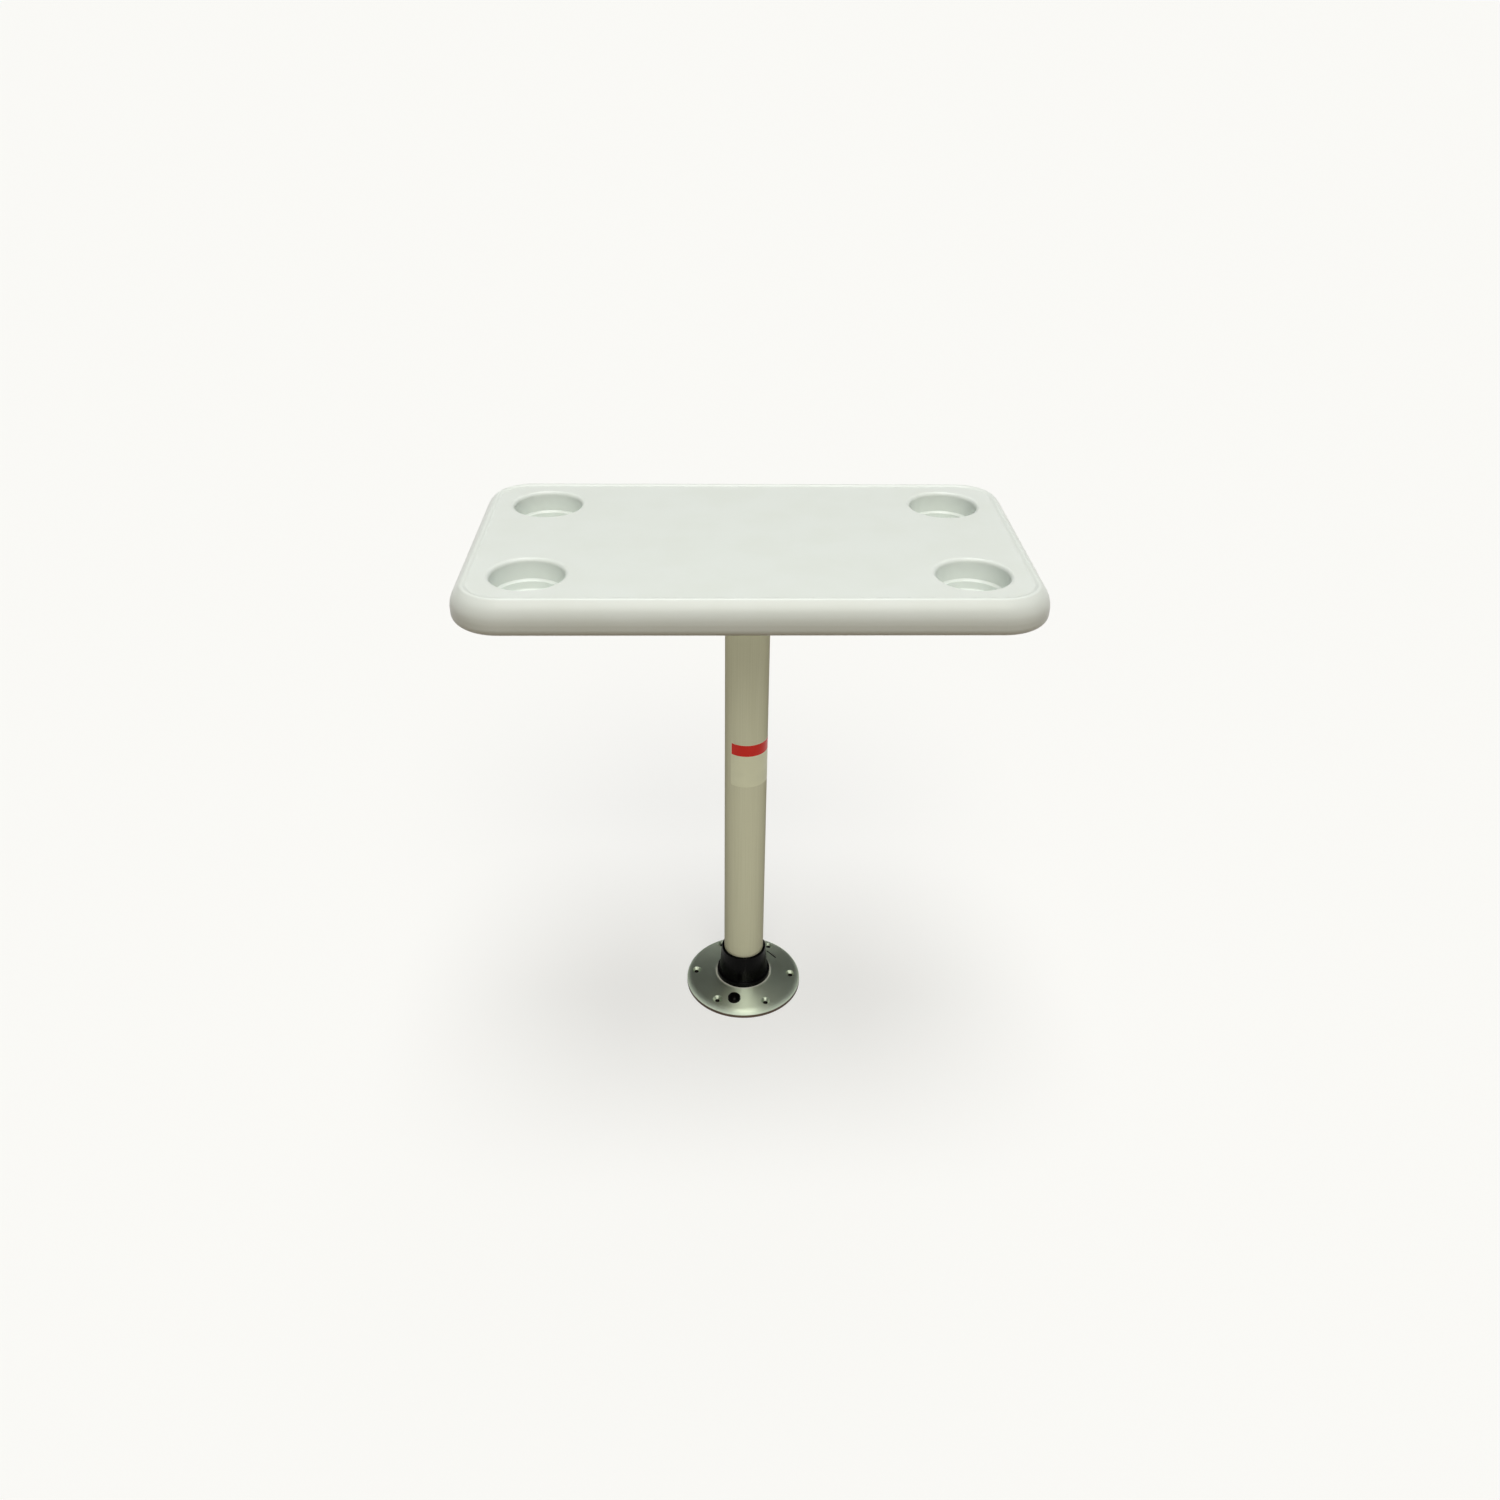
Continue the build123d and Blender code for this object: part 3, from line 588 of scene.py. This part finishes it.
class CAMPERTABLE_OT_add_springs(bpy.types.Operator):
    """Add leaf springs: smooth copies of the latch springs, put on the mounts in their place"""

    bl_idname = "campertable.add_springs"
    bl_label = "Add Springs"

    def execute(self, context):
        steel = bpy.data.materials.get("plated_steel") or plated_steel(context.scene.camper_finish)
        for side, body in MOUNT_BODIES.items():
            build = bmesh.new()
            build.from_mesh(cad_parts[side + "_latch_spring"].data)
            bmesh.ops.remove_doubles(build, verts=build.verts, dist=MERGE_GAP)
            smooth_bends(build)
            piece = make_object(side + "_leaf_spring", build, [steel])
            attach(piece, body)
            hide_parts(side + "_latch_spring")
            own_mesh(piece)
        return {"FINISHED"}


class CAMPERTABLE_OT_add_label(bpy.types.Operator):
    """Add the plain label on the tube"""

    bl_idname = "campertable.add_label"
    bl_label = "Add Label"

    def execute(self, context):
        finish = context.scene.camper_finish
        panel = printed_film("label_panel", finish.label_panel)
        stripe = printed_film("label_stripe", finish.label_stripe)
        piece = make_object("tube_label", label_mesh(context.scene.camper_label), [panel, stripe])
        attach(piece, "post")
        return {"FINISHED"}


# Stage


def add_lamp(name, place, width, energy, shade):
    """Soft lamp, far off in the direction of a place and turned to the origin."""
    lamp = bpy.data.lights.new(name, "SUN")
    lamp.angle = width
    lamp.energy = energy
    lamp.color = shade
    holder = bpy.data.objects.new(name, lamp)
    holder.location = place
    holder.rotation_euler = (-Vector(place)).to_track_quat("-Z", "Y").to_euler()
    bpy.context.scene.collection.objects.link(holder)


def backdrop_rays(tree):
    """Mask of the rays that show the backdrop: camera, glossy and transmission rays."""
    rays = add(tree, "LightPath").outputs
    through = calculate(tree, "MAXIMUM", rays["Is Glossy Ray"], rays["Is Transmission Ray"])
    return calculate(tree, "MAXIMUM", rays["Is Camera Ray"], through)


def floor_material(stage):
    """Pale floor that throws back less light than it shows, and is dark under the plate."""
    material, tree, shader = start_material(
        "stage_floor", Roughness=0.9, Specular_IOR_Level=0.0, Emission_Strength=1.0
    )
    shown = backdrop_rays(tree)
    lit = [part * (1 - stage.floor_glow) for part in stage.floor]
    glow = [part * stage.floor_glow for part in stage.floor]
    uncovered = ramp(tree, axis_distance(tree, own_place(tree)), *FLOOR_RADII)
    feed(tree, blend(tree, shown, stage.floor_bounce, lit), shader["Base Color"])
    glowing = calculate(tree, "MULTIPLY", shown, uncovered)
    feed(tree, blend(tree, glowing, DARK, glow), shader["Emission Color"])
    return material


def stage_world(stage):
    """Soft light, weaker from the sides, and a white backdrop that gets dark overhead in reflections."""
    world = bpy.data.worlds.new("stage_world")
    world.use_nodes = True
    tree = world.node_tree
    background = tree.nodes["Background"].inputs
    direction = add(tree, "SeparateXYZ", Vector=add(tree, "TexCoord").outputs["Generated"]).outputs
    hang = calculate(tree, "MULTIPLY_ADD", direction["Y"], stage.backdrop_tilt, direction["Z"])
    rise = ramp(tree, hang, sin(stage.backdrop_low), sin(stage.backdrop_high))
    mirrored = grade(tree, rise, stage.backdrop, stage.ceiling)
    aside = calculate(tree, "ABSOLUTE", calculate(tree, "SUBTRACT", direction["X"], stage.side_lean))
    fall = ramp(tree, aside, stage.side_start, stage.side_end)
    soft = grade(tree, fall, stage.ambient, stage.ambient * (1 - stage.side_fall))
    shown = backdrop_rays(tree)
    camera_rays = add(tree, "LightPath").outputs["Is Camera Ray"]
    strength = grade(tree, camera_rays, grade(tree, shown, soft, mirrored), stage.backdrop)
    feed(tree, blend(tree, shown, stage.light_tint, WHITE), background["Color"])
    feed(tree, strength, background["Strength"])
    return world


def photo_camera(stage):
    """Camera at the photograph's viewing angle."""
    view = bpy.data.cameras.new("photo_camera")
    view.sensor_width = CAMERA_FRAME_MM
    view.lens = stage.lens
    camera = bpy.data.objects.new("photo_camera", view)
    yaw = Matrix.Rotation(-stage.camera_yaw, 4, "Z")
    pitch = Matrix.Rotation(pi / 2 - stage.camera_pitch, 4, "X")
    roll = Matrix.Rotation(stage.camera_roll, 4, "Z")
    camera.matrix_world = Matrix.Translation(stage.camera_place) @ yaw @ pitch @ roll
    bpy.context.scene.collection.objects.link(camera)
    return camera


class CAMPERTABLE_OT_set_stage(bpy.types.Operator):
    """Set the floor, the backdrop, the lamps and the camera"""

    bl_idname = "campertable.set_stage"
    bl_label = "Set Stage"

    def execute(self, context):
        scene = context.scene
        stage = scene.camper_stage
        scene.view_settings.view_transform = "Standard"
        build = bmesh.new()
        bmesh.ops.create_circle(build, cap_ends=True, segments=FLOOR_SIDES, radius=stage.floor_r)
        make_object("stage_floor", build, [floor_material(stage)])
        scene.world = stage_world(stage)
        add_lamp("key_lamp", stage.key_place, stage.key_spread, stage.key, stage.light_tint)
        add_lamp("glint_lamp", stage.glint_place, stage.glint_spread, stage.glint, WHITE)
        add_lamp("top_lamp", stage.overhead_place, stage.overhead_spread, stage.overhead, WHITE)
        scene.camera = photo_camera(stage)
        return {"FINISHED"}


OPERATORS = (
    CAMPERTABLE_OT_finish_top,
    CAMPERTABLE_OT_finish_tube,
    CAMPERTABLE_OT_finish_mounts,
    CAMPERTABLE_OT_finish_hardware,
    CAMPERTABLE_OT_add_springs,
    CAMPERTABLE_OT_add_label,
    CAMPERTABLE_OT_set_stage,
)


class CAMPERTABLE_PT_panel(bpy.types.Panel):
    """Steps that dress the table, in order"""

    bl_label = "Camper Table"
    bl_space_type = "VIEW_3D"
    bl_region_type = "UI"
    bl_category = "Camper Table"

    def draw(self, context):
        for operator in OPERATORS:
            self.layout.operator(operator.bl_idname)


CLASSES = (*SETTINGS.values(), *OPERATORS, CAMPERTABLE_PT_panel)


def register():
    """Register the classes and attach the settings to the scene."""
    for item in CLASSES:
        bpy.utils.register_class(item)
    for name, group in SETTINGS.items():
        setattr(bpy.types.Scene, name, PointerProperty(type=group))


def unregister():
    """Take the settings off the scene and the classes out again."""
    for name in SETTINGS:
        delattr(bpy.types.Scene, name)
    for item in reversed(CLASSES):
        bpy.utils.unregister_class(item)


def main():
    """Dress the table step by step."""
    register()
    bpy.ops.campertable.finish_top()
    bpy.ops.campertable.finish_tube()
    bpy.ops.campertable.finish_mounts()
    bpy.ops.campertable.finish_hardware()
    bpy.ops.campertable.add_springs()
    bpy.ops.campertable.add_label()
    bpy.ops.campertable.set_stage()


if __name__ == "__main__":
    main()
